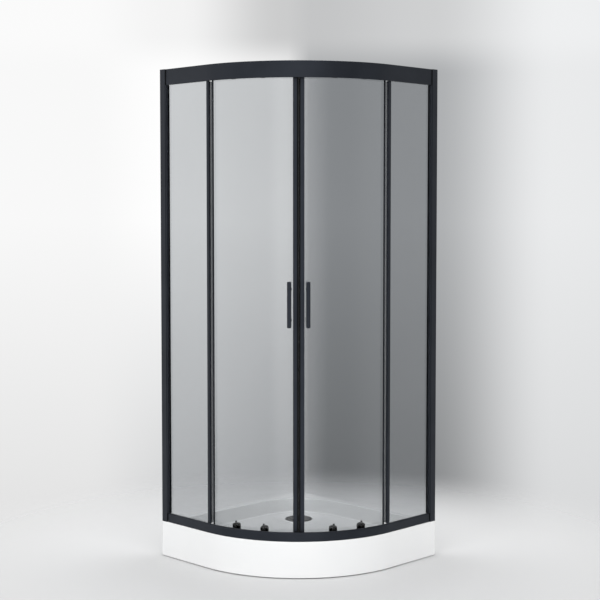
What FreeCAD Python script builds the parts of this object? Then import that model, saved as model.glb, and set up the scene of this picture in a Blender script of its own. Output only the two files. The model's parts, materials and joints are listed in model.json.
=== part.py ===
import FreeCAD, Part
import math
import os
from FreeCAD import Vector

# Corner shower enclosure: a quarter-round tray, two fixed panes and two curved sliding doors.
# Millimetres, +Z up, origin on the floor at the centre of the square footprint. The room's walls
# are the planes x = +half and y = +half, and the rounded front faces -X -Y.
# "n" is the depth inward from the rails' outer face, "s" the distance from a wall, "t" the
# distance along the front. Left-hand pieces are built first, and right-hand ones mirror them.

# Envelope
footprint_side = 800.0
overall_height = 2000.0
front_radius = 515.0

# Tray
tray_height = 145.0
tray_wall = 5.0
apron_floor_gap = 4.0
tray_edge_radius = 4.0
tray_top_radius = 3.8
wall_rim_width = 32.0
front_rim_width = 62.0
basin_depth = 50.0
basin_wall_run = 38.0
basin_back_radius = 250.0
basin_side_radius = 75.0
basin_floor_thickness = 15.0
basin_foot_radius = 14.0
basin_lip_radius = 6.0
wall_flange_depth = 45.0

# Waste
waste_from_walls = 213.0
dish_radius = 105.0
dish_fall = 4.0
recess_radius = 60.0
recess_depth = 4.0
tray_hole_radius = 45.0
flange_thickness = 2.5
flange_edge_radius = 1.25
flange_edge_gap = 2.0
neck_radius = 42.0
neck_wall = 3.5
neck_drop = 26.0
insert_shoulder_width = 2.5
insert_shoulder_drop = 3.0
insert_plate = 2.0
insert_tube_radius = 22.0
insert_wall = 2.0
insert_tube_length = 56.0
cover_radius = 56.0
cover_thickness = 2.5
cover_edge_radius = 2.0
cover_ring_radius = 31.0
cover_ring_wall = 3.0
cover_slot_width = 16.0
cover_slot_height = 3.5
cover_stand = 5.0
gasket_ring_width = 12.0
waste_gasket_thickness = 3.0
trap_radius = 52.0
trap_wall = 3.0
trap_foot_radius = 9.0
trap_plate = 4.0
trap_floor_gap = 13.0
outlet_radius = 20.0
outlet_wall = 2.5
outlet_length = 50.0
outlet_collar_radius = 25.0
outlet_collar_reach = 60.0
outlet_drop = 33.0

# Tray support
board_thickness = 16.0
board_margin = 14.0
board_hole_gap = 12.0
foot_wall_inset = 115.0
foot_side_inset = 145.0
foot_back_spread = 117.0
foot_front_inset = 160.0
leg_plate_side = 50.0
leg_plate_thickness = 3.0
leg_plate_radius = 4.0
leg_rod_radius = 6.0
leg_rod_top_gap = 4.0
leg_nut_flats = 19.0
leg_nut_height = 10.0
foot_pad_radius = 25.0
foot_pad_height = 14.0
foot_pad_floor = 4.0
foot_pad_chamfer = 4.0

# Rails
rail_inset = 6.0
bottom_rail_height = 36.0
top_rail_height = 64.0
fascia_wall = 2.0
web = 1.6
rail_nose_radius = 5.0
fascia_edge_radius = 1.2
slot_floor_height = 10.0
slot_inner_height = 26.0
slot_roof_height = 28.0
slot_inner_hang = 22.0
track_lip = 4.0
track_lip_gap = 2.0
track_width = 14.4
bottom_lip = 3.0
bottom_track_wall = 10.0
track_ledge_height = 30.0

# Glass and gaskets
glass_thickness = 5.0
fixed_glass_n = 10.0
door_glass_n = 28.0
gasket_thickness = 1.3
gasket_depth = 9.0
glass_bed = 1.5
door_glass_bottom_gap = 14.0
door_glass_top_lap = 20.0

# Wall channels, side posts and end blocks
channel_depth = 30.0
channel_wall = 1.6
channel_proud = 4.5
channel_width = 25.0
channel_edge_radius = 1.0
wall_hole_radius = 3.0
wall_hole_end_inset = 127.5
wall_hole_inner_pitch = 560.0
post_wall_gap = 6.0
post_nose = 6.0
post_slot_depth = 13.0
post_wall = 1.6
post_screw_end_inset = 187.5
post_screw_radius = 2.0
post_screw_head_radius = 4.0
post_screw_head = 2.2
post_screw_length = 12.0
end_plate = 2.0
end_plug_wall_gap = 4.0
rail_screw_radius = 2.2
rail_screw_head_radius = 4.5
rail_screw_head = 2.5
rail_screw_grip = 28.0

# Stiles and seals
fixed_stile_width = 13.5
fixed_stile_depth = 11.5
fixed_stile_bite = 10.5
fixed_stile_lead = 12.5
overlap_stile_width = 5.0
overlap_stile_depth = 9.0
overlap_stile_bite = 3.5
overlap_stile_lead = 1.5
meeting_stile_width = 16.0
meeting_stile_depth = 11.0
meeting_stile_bite = 12.0
meeting_stile_edge = 2.0
stile_edge_radius = 1.2
magnet_width = 6.0
magnet_depth = 9.0
magnet_gap = 0.1
seal_width = 2.0
seal_tip_width = 1.0
seal_tip_gap = 0.8
seal_end_gap = 1.0

# Handles
handle_height = 1066.0
handle_length = 179.0
handle_width = 16.0
handle_depth = 10.0
handle_edge_radius = 4.0
handle_grip_gap = 24.0
handle_post_radius = 5.0
handle_post_pitch = 120.0
handle_from_meeting = 37.0
handle_screw_radius = 2.5
handle_screw_grip = 10.0

# Hangers, guides and wheels
lead_roller_angle = 13.5
rear_roller_angle = 28.4
wheel_radius = 11.0
wheel_width = 5.0
wheel_hub_radius = 5.5
wheel_rim_depth = 2.5
wheel_web_inset = 1.0
wheel_edge = 0.8
wheel_ride = 0.3
pin_radius = 3.0
pin_head_radius = 5.0
pin_head = 1.2
hanger_width = 24.0
hanger_thickness = 4.6
hanger_bottom_rise = 1.0
hanger_bolt_rise = 11.0
hanger_foot_radius = 4.0
carrier_width = 29.0
carrier_depth = 15.0
carrier_plate = 5.6
carrier_bottom_rise = 7.0
carrier_top_rise = 50.0
carrier_bolt_rise = 35.0
carrier_foot_radius = 4.8
carrier_shoulder_radius = 9.0
wheel_pocket_gap = 1.6
bolt_cap_radius = 8.0
bolt_cap = 3.0
bolt_cap_edge = 1.5
bolt_radius = 3.0
carrier_bolt_grip = 4.0
button_radius = 2.5
button_head_radius = 4.0
button_head = 4.0
button_edge = 1.3
button_stem = 7.0
button_lift = 3.0
button_offset = 3.5
button_setback = 1.6
button_well = 11.0
door_open_gap = 38.5
stop_length = 15.0
stop_height = 16.0
stop_gap = 3.3
stop_side_gap = 0.6

# Clearances
face_gap = 0.2
slide_gap = 0.3
shaft_gap = 0.05
bolt_hole_gap = 1.0
cut_margin_angle = 1.0
same_place = 1e-4

# Worked out from the sizes above
half = footprint_side / 2
curve_centre = front_radius - half
rail_x = rail_inset - half
rail_radius = front_radius - rail_inset
bottom_rail_z = tray_height
bottom_rail_top = bottom_rail_z + bottom_rail_height
top_rail_z = overall_height - top_rail_height
slot_n0 = fixed_glass_n - gasket_thickness - face_gap
slot_n1 = fixed_glass_n + glass_thickness + gasket_thickness + face_gap
door_glass_inner_n = door_glass_n + glass_thickness
lip_n = door_glass_inner_n + track_lip_gap
track_n = lip_n + web
rail_depth = track_n + track_width + web
wheel_n = track_n + (track_width - wheel_width - slide_gap - pin_head) / 2
ledge_z = top_rail_z + track_ledge_height + web
top_axle_z = ledge_z + wheel_ride + wheel_radius
bottom_axle_z = bottom_rail_z + fascia_wall + wheel_ride + wheel_radius
door_bottom = bottom_rail_z + door_glass_bottom_gap
door_top = top_rail_z + door_glass_top_lap
rail_end_s = channel_depth + end_plate + slide_gap
door_travel = half - curve_centre - channel_depth - post_nose - overlap_stile_lead - door_open_gap
waste = half - waste_from_walls
basin_floor_z = tray_height - basin_depth
tray_underside = basin_floor_z - basin_floor_thickness
recess_z = basin_floor_z - dish_fall - recess_depth
meeting_angle = 45.0
z_axis = Vector(0, 0, 1)
curve_axis = Vector(curve_centre, curve_centre, 0)


# Closed loop through corners (u, v, radius), each rounded by a tangent arc.
def rounded_loop(corners, place):
    starts = []
    edges = []
    ends = []
    arcs = []
    count = len(corners)
    for i in range(count):
        here = Vector(corners[i][0], corners[i][1], 0)
        to_before = Vector(corners[i - 1][0], corners[i - 1][1], 0) - here
        after = corners[(i + 1) % count]
        to_after = Vector(after[0], after[1], 0) - here
        to_before.normalize()
        to_after.normalize()
        radius = corners[i][2]
        half_angle = to_before.getAngle(to_after) / 2
        setback = radius / math.tan(half_angle)
        bisector = to_before + to_after
        bisector.normalize()
        middle = here + bisector * (radius / math.sin(half_angle) - radius)
        starts.append(here + to_before * setback)
        ends.append(here + to_after * setback)
        arcs.append(middle if radius > 0 else None)
    for i in range(count):
        start = place(starts[i].x, starts[i].y)
        end = place(ends[i].x, ends[i].y)
        previous = place(ends[i - 1].x, ends[i - 1].y)
        if (start - previous).Length > same_place:
            edges.append(Part.makeLine(previous, start))
        if arcs[i] is not None:
            edges.append(Part.Arc(start, place(arcs[i].x, arcs[i].y), end).toShape())
    return Part.Wire(edges)


# Corners of a rectangle, with one radius for each corner from the low one onwards.
def box_corners(u0, u1, v0, v1, radii=(0, 0, 0, 0)):
    return [(u0, v0, radii[0]), (u1, v0, radii[1]), (u1, v1, radii[2]), (u0, v1, radii[3])]


# Section plane of the front rails, at the left tangent point.
def at_rail(n, z):
    return Vector(rail_x + n, curve_centre, z)


# Plan view of the left wall's profiles, at height zero.
def at_wall(n, s):
    return Vector(rail_x + n, half - s, 0)


# Plan view of the front's profiles, at the left tangent point.
def at_front(n, t):
    return Vector(rail_x + n, curve_centre + t, 0)


def at_plan(x, y):
    return Vector(x, y, 0)


def joined(shapes):
    return shapes[0].fuse(shapes[1:]).removeSplitter()


def face_of(corners, place):
    return Part.Face(rounded_loop(corners, place))


# One section face from overlapping webs, with optional openings.
def section(parts, openings, place):
    face = joined([face_of(p, place) for p in parts]) if len(parts) > 1 else face_of(parts[0], place)
    for opening in openings:
        face = face.cut(face_of(opening, place))
    return face.Faces[0]


def upright(face, z0, z1):
    solid = face.extrude(Vector(0, 0, z1 - z0))
    solid.translate(Vector(0, 0, z0))
    return solid


# Sweeps a rail section along straight, curve and straight.
def along_front(face, straight):
    left = face.extrude(Vector(0, straight, 0))
    curve = face.revolve(curve_axis, z_axis, 90)
    turned = face.copy()
    turned.rotate(curve_axis, z_axis, 90)
    right = turned.extrude(Vector(straight, 0, 0))
    return joined([left, curve, right])


# Turns a piece built at the tangent point to its place on the curve.
def on_curve(shape, angle):
    placed = shape.copy()
    placed.rotate(curve_axis, z_axis, angle)
    return placed


# Upright band that follows the curve between two angles.
def curved_band(n0, n1, angle0, angle1, z0, z1):
    face = face_of(box_corners(n0, n1, z0, z1), at_rail)
    face.rotate(curve_axis, z_axis, angle0)
    return face.revolve(curve_axis, z_axis, angle1 - angle0)


# Angle that a length along the front covers at depth n.
def angle_of(length, n):
    return math.degrees(length / (rail_radius - n))


# Round bar along n, at height z and distance t along the front from the tangent point.
def across(n0, n1, radius, z, t=0.0):
    return Part.makeCylinder(radius, n1 - n0, Vector(rail_x + n0, curve_centre + t, z), Vector(1, 0, 0))


def block(n0, n1, t0, t1, z0, z1):
    return Part.makeBox(n1 - n0, t1 - t0, z1 - z0, Vector(rail_x + n0, curve_centre + t0, z0))


def cylinder(x, y, z0, z1, radius):
    return Part.makeCylinder(radius, z1 - z0, Vector(x, y, z0), z_axis)


# Turned piece about the waste's upright axis, from (radius, z) corners.
def turned(corners):
    face = face_of(corners, lambda r, z: Vector(waste + r, waste, z))
    return face.revolve(Vector(waste, waste, 0), z_axis, 360)


def mirrored(shape):
    return shape.mirror(Vector(0, 0, 0), Vector(1, -1, 0))


def group(shapes):
    return Part.makeCompound(shapes)


# Plan outline of the tray: a square with the front corner rounded, drawn in from its sides.
def tray_outline(front_inset, wall_inset, side_radius, back_radius, z):
    low = front_inset - half
    high = half - wall_inset
    radii = (front_radius - front_inset, side_radius, back_radius, side_radius)
    return rounded_loop(box_corners(low, high, low, high, radii), lambda x, y: Vector(x, y, z))


def basin(grow, top, bottom):
    upper = tray_outline(
        front_rim_width - grow,
        wall_rim_width - grow,
        basin_side_radius + grow,
        basin_back_radius + grow,
        top,
    )
    lower = tray_outline(
        front_rim_width + basin_wall_run - grow,
        wall_rim_width + basin_wall_run - grow,
        basin_side_radius - basin_wall_run + grow,
        basin_back_radius - basin_wall_run + grow,
        bottom,
    )
    return Part.makeLoft([upper, lower], True, True)


def edges_at(shape, z):
    found = []
    for edge in shape.Edges:
        box = edge.BoundBox
        if abs(box.ZMin - z) < same_place and abs(box.ZMax - z) < same_place:
            found.append(edge)
    return found


# How far the middle of an edge lies inside the tray's outline.
def inset_of(edge):
    point = edge.valueAt((edge.FirstParameter + edge.LastParameter) / 2)
    if max(point.x, point.y) < curve_centre:
        return front_radius - math.hypot(point.x - curve_centre, point.y - curve_centre)
    return half - max(abs(point.x), abs(point.y))


def shower_tray():
    outer = Part.Face(tray_outline(0, 0, tray_edge_radius, tray_edge_radius, 0))
    skirt = upright(outer, apron_floor_gap, tray_height)
    inner = Part.Face(tray_outline(tray_wall, tray_wall, tray_wall, tray_wall, 0))
    hollow = upright(inner, 0, tray_height - tray_wall)
    bowl = basin(tray_wall, tray_height, tray_underside)
    tray = skirt.cut(hollow.cut(bowl))
    # The two wall sides are open below a short flange, so that the legs and the trap can be reached.
    flange_z = tray_height - wall_flange_depth
    corner = Vector(tray_wall - half, half - 2 * tray_wall, 0)
    left_side = Part.makeBox(footprint_side, 3 * tray_wall, flange_z, corner)
    tray = tray.cut([left_side, mirrored(left_side)])
    pit = basin(0, tray_height, basin_floor_z)
    pit = pit.makeFillet(basin_foot_radius, edges_at(pit, basin_floor_z))
    tray = tray.cut(pit)
    dish = Part.makeCone(recess_radius, dish_radius, dish_fall)
    dish.translate(Vector(waste, waste, basin_floor_z - dish_fall))
    recess = cylinder(waste, waste, recess_z, basin_floor_z - dish_fall + face_gap, recess_radius)
    hole = cylinder(waste, waste, tray_underside - tray_wall, recess_z + tray_wall, tray_hole_radius)
    tray = tray.cut([dish, recess, hole])
    rim = edges_at(tray, tray_height)
    tray = tray.makeFillet(basin_lip_radius, [e for e in rim if inset_of(e) > wall_rim_width / 2])
    rim = edges_at(tray, tray_height)
    return tray.makeFillet(tray_top_radius, [e for e in rim if inset_of(e) < face_gap])


def tray_board():
    outline = tray_outline(
        front_rim_width + basin_wall_run + board_margin,
        wall_rim_width + basin_wall_run + board_margin,
        basin_side_radius - basin_wall_run - board_margin,
        basin_back_radius - basin_wall_run - board_margin,
        tray_underside - board_thickness,
    )
    board = Part.Face(outline).extrude(Vector(0, 0, board_thickness))
    bottom = tray_underside - board_thickness
    cuts = [cylinder(waste, waste, bottom, tray_underside, recess_radius + board_hole_gap)]
    for x, y in foot_places():
        cuts.append(cylinder(x, y, bottom, tray_underside, leg_rod_radius + slide_gap))
    return board.cut(cuts)


# Five legs: one near each open side, two beside the waste and one under the front curve.
def foot_places():
    wall_line = half - foot_wall_inset
    side_line = foot_side_inset - half
    beside = waste - foot_back_spread
    front = curve_centre - (front_radius - foot_front_inset) * math.cos(math.radians(45))
    return [
        (side_line, wall_line),
        (wall_line, side_line),
        (beside, wall_line),
        (wall_line, beside),
        (front, front),
    ]


def leg_pieces():
    plate_z = tray_underside - board_thickness - leg_plate_thickness
    nut_z = plate_z - leg_nut_height
    rod_hole = leg_rod_radius + shaft_gap
    plates = []
    rods = []
    nuts = []
    pads = []
    for x, y in foot_places():
        hole = cylinder(x, y, 0, tray_underside, rod_hole)
        corner = leg_plate_side / 2
        corners = box_corners(x - corner, x + corner, y - corner, y + corner, [leg_plate_radius] * 4)
        plate = upright(face_of(corners, at_plan), plate_z, plate_z + leg_plate_thickness)
        plates.append(plate.cut(hole))
        rods.append(cylinder(x, y, foot_pad_floor, tray_underside - leg_rod_top_gap, leg_rod_radius))
        corner_radius = leg_nut_flats / math.sqrt(3)
        points = []
        for k in range(7):
            turn = math.radians(60 * k)
            points.append(Vector(corner_radius * math.cos(turn), corner_radius * math.sin(turn), 0))
        nut = Part.Face(Part.makePolygon(points)).extrude(Vector(0, 0, leg_nut_height))
        nut.translate(Vector(x, y, nut_z))
        nuts.append(nut.cut(hole))
        pad = cylinder(x, y, 0, foot_pad_height, foot_pad_radius)
        pad = pad.makeChamfer(foot_pad_chamfer, edges_at(pad, foot_pad_height))
        well = cylinder(x, y, foot_pad_floor, foot_pad_height, rod_hole)
        pads.append(pad.cut(well))
    return {
        "leg_plates": group(plates),
        "leg_rods": group(rods),
        "leg_lock_nuts": group(nuts),
        "foot_pads": group(pads),
    }


def waste_pieces():
    flange_r = recess_radius - flange_edge_gap
    flange_top = recess_z + flange_thickness
    bore = neck_radius - neck_wall
    shoulder = bore - insert_shoulder_width
    shoulder_z = recess_z - insert_shoulder_drop
    neck_bottom = recess_z - neck_drop
    flange = turned([
        (bore, flange_top, 0),
        (flange_r, flange_top, flange_edge_radius),
        (flange_r, recess_z, 0),
        (neck_radius, recess_z, 0),
        (neck_radius, neck_bottom, 0),
        (shoulder, neck_bottom, 0),
        (shoulder, shoulder_z, 0),
        (bore, shoulder_z, 0),
    ])
    insert_top = shoulder_z + insert_plate
    insert_bore = insert_tube_radius - insert_wall
    insert = turned([
        (insert_bore, insert_top, 0),
        (bore - slide_gap, insert_top, 0),
        (bore - slide_gap, shoulder_z, 0),
        (insert_tube_radius, shoulder_z, 0),
        (insert_tube_radius, shoulder_z - insert_tube_length, 0),
        (insert_bore, shoulder_z - insert_tube_length, 0),
    ])
    cap_z = insert_top + cover_stand
    cap_top = cap_z + cover_thickness
    cap = turned([
        (0, cap_top, 0),
        (cover_radius, cap_top, cover_edge_radius),
        (cover_radius, cap_z, 0),
        (cover_ring_radius, cap_z, 0),
        (cover_ring_radius, insert_top, 0),
        (cover_ring_radius - cover_ring_wall, insert_top, 0),
        (cover_ring_radius - cover_ring_wall, cap_z, 0),
        (0, cap_z, 0),
    ])
    reach = 2 * cover_ring_radius
    slot = Part.makeBox(2 * reach, cover_slot_width, cover_slot_height)
    slot.translate(Vector(waste - reach, waste - cover_slot_width / 2, insert_top))
    crossed = slot.copy()
    crossed.rotate(Vector(waste, waste, 0), z_axis, 90)
    cap = cap.cut([slot, crossed])
    gasket_z = tray_underside - waste_gasket_thickness
    gasket_r = tray_hole_radius + gasket_ring_width
    gasket = turned(box_corners(tray_hole_radius + slide_gap, gasket_r, gasket_z, tray_underside))
    trap_inner = trap_radius - trap_wall
    plate_z = gasket_z - trap_plate
    pot = turned([
        (neck_radius + shaft_gap, gasket_z, 0),
        (gasket_r, gasket_z, 0),
        (gasket_r, plate_z, 0),
        (trap_radius, plate_z, 0),
        (trap_radius, trap_floor_gap, trap_foot_radius),
        (0, trap_floor_gap, 0),
        (0, trap_floor_gap + trap_wall, 0),
        (trap_inner, trap_floor_gap + trap_wall, trap_foot_radius - trap_wall),
        (trap_inner, plate_z, 0),
        (neck_radius + shaft_gap, plate_z, 0),
    ])
    outlet_z = plate_z - outlet_drop
    start = Vector(waste, waste, outlet_z)
    along = Vector(1, 0, 0)
    collar = Part.makeCylinder(outlet_collar_radius, outlet_collar_reach, start, along)
    spigot = Part.makeCylinder(outlet_radius, outlet_collar_reach + outlet_length, start, along)
    pipe = joined([collar, spigot]).cut(cylinder(waste, waste, 0, tray_underside, trap_inner + face_gap))
    outlet_reach = outlet_collar_reach + outlet_length
    outlet_bore = Part.makeCylinder(outlet_radius - outlet_wall, outlet_reach, start, along)
    trap = joined([pot, pipe]).cut(outlet_bore)
    return {
        "waste_flange": flange,
        "waste_gasket": gasket,
        "trap_body": trap,
        "trap_insert": insert,
        "drain_cover": cap,
    }


# Bottom rail: a hollow rounded nose, the fixed panes' slot and the guide wheels' track.
def bottom_rail():
    z = bottom_rail_z
    top = bottom_rail_top
    nose = box_corners(0, slot_n0, z, top, (0, 0, 0, rail_nose_radius))
    hollow_radii = (0, 0, 0, rail_nose_radius - fascia_wall)
    chamber = box_corners(fascia_wall, slot_n0 - web, z + fascia_wall, top - fascia_wall, hollow_radii)
    parts = [
        nose,
        box_corners(0, rail_depth, z, z + fascia_wall),
        box_corners(slot_n0 - web, slot_n1 + web, z + slot_floor_height - web, z + slot_floor_height),
        box_corners(slot_n1, slot_n1 + web, z, z + slot_inner_height),
        box_corners(lip_n, track_n, z, z + fascia_wall + bottom_lip),
        box_corners(rail_depth - web, rail_depth, z, z + fascia_wall + bottom_track_wall),
    ]
    return along_front(section(parts, [chamber], at_rail), half - rail_end_s - curve_centre)


# Top rail: a tall fascia with the fixed panes' slot behind it, and a ledge that the wheels run on.
def top_rail():
    z = top_rail_z
    top = overall_height
    roof = z + slot_roof_height
    edge = fascia_edge_radius
    parts = [
        box_corners(0, fascia_wall, z, top, (edge, 0, 0, edge)),
        box_corners(0, slot_n0, z, z + fascia_wall, (edge, 0, 0, 0)),
        box_corners(slot_n0 - web, slot_n0, z, roof + web),
        box_corners(0, slot_n1 + web, roof, roof + web),
        box_corners(slot_n1, slot_n1 + web, roof - slot_inner_hang, roof + web),
        box_corners(0, rail_depth, top - fascia_wall, top, (0, 0, edge, edge)),
        box_corners(rail_depth - web, rail_depth, ledge_z - web, top, (0, 0, edge, 0)),
        box_corners(lip_n, rail_depth, ledge_z - web, ledge_z),
        box_corners(lip_n, track_n, ledge_z - web, ledge_z + track_lip),
    ]
    return along_front(section(parts, [], at_rail), half - rail_end_s - curve_centre)


def wall_channel():
    n0 = -channel_proud
    n1 = n0 + channel_width
    edge = channel_edge_radius
    outer = box_corners(n0, n1, 0, channel_depth, (0, 0, edge, edge))
    inner = box_corners(n0 + channel_wall, n1 - channel_wall, channel_wall, 2 * channel_depth)
    face = section([outer], [inner], at_wall)
    channel = upright(face, tray_height, overall_height)
    middle = (tray_height + overall_height) / 2
    heights = [
        tray_height + wall_hole_end_inset,
        middle - wall_hole_inner_pitch / 2,
        middle + wall_hole_inner_pitch / 2,
        overall_height - wall_hole_end_inset,
    ]
    holes = []
    for z in heights:
        place = at_wall((n0 + n1) / 2, 2 * channel_wall) + Vector(0, 0, z)
        holes.append(Part.makeCylinder(wall_hole_radius, 4 * channel_wall, place, Vector(0, 1, 0)))
    for z in post_screw_heights():
        holes.append(screw_bar(n1 - channel_wall, n1, post_screw_radius + shaft_gap, z))
    return channel.cut(holes)


def post_screw_heights():
    low = tray_height + post_screw_end_inset
    high = overall_height - post_screw_end_inset
    return [low, (low + high) / 2, high]


# Distance from the wall to the floor of the side post's glass slot.
post_slot_s = channel_depth + post_nose - post_slot_depth


# Bar along n through the hollow of the side post, behind the glass slot.
def screw_bar(n0, n1, radius, z):
    start = at_wall(n0, (post_wall_gap + post_slot_s) / 2) + Vector(0, 0, z)
    return Part.makeCylinder(radius, n1 - n0, start, Vector(1, 0, 0))


# Side post: slides in the wall channel, hollow at the back and with the glass slot at the front.
def side_post():
    n0 = channel_wall - channel_proud + slide_gap
    n1 = channel_width - channel_proud - channel_wall - slide_gap
    nose_end = channel_depth + post_nose
    edge = channel_edge_radius
    body = box_corners(n0, n1, post_wall_gap, nose_end, (0, 0, edge, edge))
    hollow = box_corners(n0 + post_wall, n1 - post_wall, post_wall_gap + post_wall, post_slot_s - post_wall)
    slot = box_corners(slot_n0, slot_n1, post_slot_s, nose_end + post_nose)
    profile = section([body], [hollow, slot], at_wall)
    post = upright(profile, bottom_rail_top + face_gap, top_rail_z - face_gap)
    holes = []
    for z in post_screw_heights():
        holes.append(screw_bar(n1 - 2 * post_wall, n1 + slide_gap, post_screw_radius + shaft_gap, z))
    return post.cut(holes)


def post_screws():
    n1 = channel_width - channel_proud
    screws = []
    for z in post_screw_heights():
        shank = screw_bar(n1 - post_screw_length, n1 + post_screw_head, post_screw_radius, z)
        head = screw_bar(n1, n1 + post_screw_head, post_screw_head_radius, z)
        screws.append(joined([shank, head]))
    return screws


# End block: a plate that closes the rail's end and a plug that fills the wall channel behind it. The
# plate is lower behind the track, and notched where the fixed pane's edge passes.
def end_block(z0, z1, track_z0, track_z1, notch_z0, notch_z1):
    n0 = channel_wall - channel_proud + slide_gap
    n1 = channel_width - channel_proud - channel_wall - slide_gap
    plate_s = channel_depth + slide_gap
    front = upright(face_of(box_corners(0, slot_n1 + web, plate_s, rail_end_s), at_wall), z0, z1)
    back = upright(face_of(box_corners(0, rail_depth, plate_s, rail_end_s), at_wall), track_z0, track_z1)
    plug_corners = box_corners(n0, n1, end_plug_wall_gap, plate_s)
    plug = upright(face_of(plug_corners, at_wall), z0 + face_gap, z1 - face_gap)
    pocket_corners = box_corners(
        n0 + 2 * rail_screw_head_radius + channel_wall, n1 - channel_wall, 0, channel_depth - channel_wall
    )
    pocket = upright(face_of(pocket_corners, at_wall), z0 + channel_wall, z1 - channel_wall)
    notch_corners = box_corners(slot_n0, slot_n1, post_slot_s, rail_end_s)
    notch = upright(face_of(notch_corners, at_wall), notch_z0, notch_z1)
    return joined([front, back, plug.cut(pocket)]).cut(notch)


# Screw along the rail, through an end block into the hollow behind the rail's face. The end block's
# hole is the same shape with room round it and a head long enough to open towards the wall.
def rail_screw(z, radius, head_radius, head):
    n = (fascia_wall + slot_n0 - web) / 2
    start = at_wall(n, channel_depth - rail_screw_grip / 2) + Vector(0, 0, z)
    along = Vector(0, -1, 0)
    shank = Part.makeCylinder(radius, rail_screw_grip, start, along)
    cap = Part.makeCylinder(head_radius, head, start - along * head, along)
    return joined([shank, cap])


def end_pieces():
    low_slot = bottom_rail_z + slot_floor_height
    high_slot = top_rail_z + slot_roof_height
    low_wall = bottom_rail_z + bottom_track_wall
    high_wall = ledge_z - web
    low_heights = (bottom_rail_z, bottom_rail_top, bottom_rail_z, low_wall, low_slot, bottom_rail_top)
    high_heights = (top_rail_z, overall_height, high_wall, overall_height, top_rail_z, high_slot)
    places = [
        (low_heights, bottom_rail_z + bottom_rail_height / 2),
        (high_heights, top_rail_z + slot_roof_height / 2),
    ]
    blocks = []
    screws = []
    for heights, screw_z in places:
        hole_radius = rail_screw_radius + shaft_gap
        head_hole = rail_screw_head_radius + shaft_gap
        hole = rail_screw(screw_z, hole_radius, head_hole, channel_depth)
        blocks.append(end_block(*heights).cut(hole))
        screws.append(rail_screw(screw_z, rail_screw_radius, rail_screw_head_radius, rail_screw_head))
    return blocks, screws


fixed_glass_z0 = bottom_rail_z + slot_floor_height + glass_bed
fixed_glass_z1 = top_rail_z + slot_roof_height - glass_bed
fixed_glass_y0 = curve_centre + fixed_stile_lead - fixed_stile_bite
fixed_glass_y1 = half - post_slot_s - glass_bed


def pane(n0, n1, y0, y1, z0, z1):
    return Part.makeBox(n1 - n0, y1 - y0, z1 - z0, Vector(rail_x + n0, y0, z0))


def fixed_glass():
    n1 = fixed_glass_n + glass_thickness
    return pane(fixed_glass_n, n1, fixed_glass_y0, fixed_glass_y1, fixed_glass_z0, fixed_glass_z1)


# Glazing gasket: a thin channel round the fixed pane's bottom, wall and top edges.
def glass_gasket():
    n0 = fixed_glass_n - gasket_thickness
    n1 = fixed_glass_n + glass_thickness + gasket_thickness
    lap = gasket_thickness
    y0 = curve_centre + fixed_stile_lead + face_gap
    around = pane(n0, n1, y0, fixed_glass_y1 + lap, fixed_glass_z0 - lap, fixed_glass_z1 + lap)
    z0 = fixed_glass_z0 + gasket_depth
    inside = pane(n0, n1, y0, fixed_glass_y1 - gasket_depth, z0, fixed_glass_z1 - gasket_depth)
    return around.cut([inside, fixed_glass()])


# Fixed stile: a rounded channel pushed over the fixed pane's free edge, between the rails.
def fixed_stile():
    n0 = fixed_glass_n + glass_thickness / 2 - fixed_stile_depth / 2
    t1 = fixed_stile_lead
    t0 = t1 - fixed_stile_width
    edge = stile_edge_radius
    body = box_corners(n0, n0 + fixed_stile_depth, t0, t1, (edge, edge, edge, edge))
    glass_n0 = fixed_glass_n - shaft_gap
    glass_n1 = fixed_glass_n + glass_thickness + shaft_gap
    slot = box_corners(glass_n0, glass_n1, t1 - fixed_stile_bite - face_gap, t1 + edge)
    face = section([body], [slot], at_front)
    return upright(face, bottom_rail_top + face_gap, top_rail_z - face_gap)


# Door edges, as angles from the tangent point.
overlap_angle0 = -angle_of(overlap_stile_lead, door_glass_n)
overlap_angle1 = overlap_angle0 + angle_of(overlap_stile_width, door_glass_n)
magnet_angle1 = meeting_angle - angle_of(magnet_gap / 2, door_glass_n)
magnet_angle0 = magnet_angle1 - angle_of(magnet_width, door_glass_n)
meeting_angle0 = magnet_angle0 - angle_of(meeting_stile_width, door_glass_n)
glass_angle0 = overlap_angle1 - angle_of(overlap_stile_bite, door_glass_n)
glass_angle1 = meeting_angle0 + angle_of(meeting_stile_bite, door_glass_n)
handle_angle = meeting_angle - angle_of(handle_from_meeting, 0)
roller_angles = (lead_roller_angle, rear_roller_angle)
hanger_bolt_z = top_rail_z + hanger_bolt_rise
carrier_bolt_z = bottom_rail_z + carrier_bolt_rise


def handle_post_heights():
    return [handle_height - handle_post_pitch / 2, handle_height + handle_post_pitch / 2]


def door_glass():
    glass = curved_band(door_glass_n, door_glass_inner_n, glass_angle0, glass_angle1, door_bottom, door_top)
    n0 = door_glass_n - glass_thickness
    n1 = door_glass_inner_n + glass_thickness
    holes = []
    for angle in roller_angles:
        for z in (hanger_bolt_z, carrier_bolt_z):
            holes.append(on_curve(across(n0, n1, bolt_radius + bolt_hole_gap, z), angle))
    for z in handle_post_heights():
        holes.append(on_curve(across(n0, n1, handle_screw_radius + bolt_hole_gap, z), handle_angle))
    return glass.cut(holes)


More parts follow.
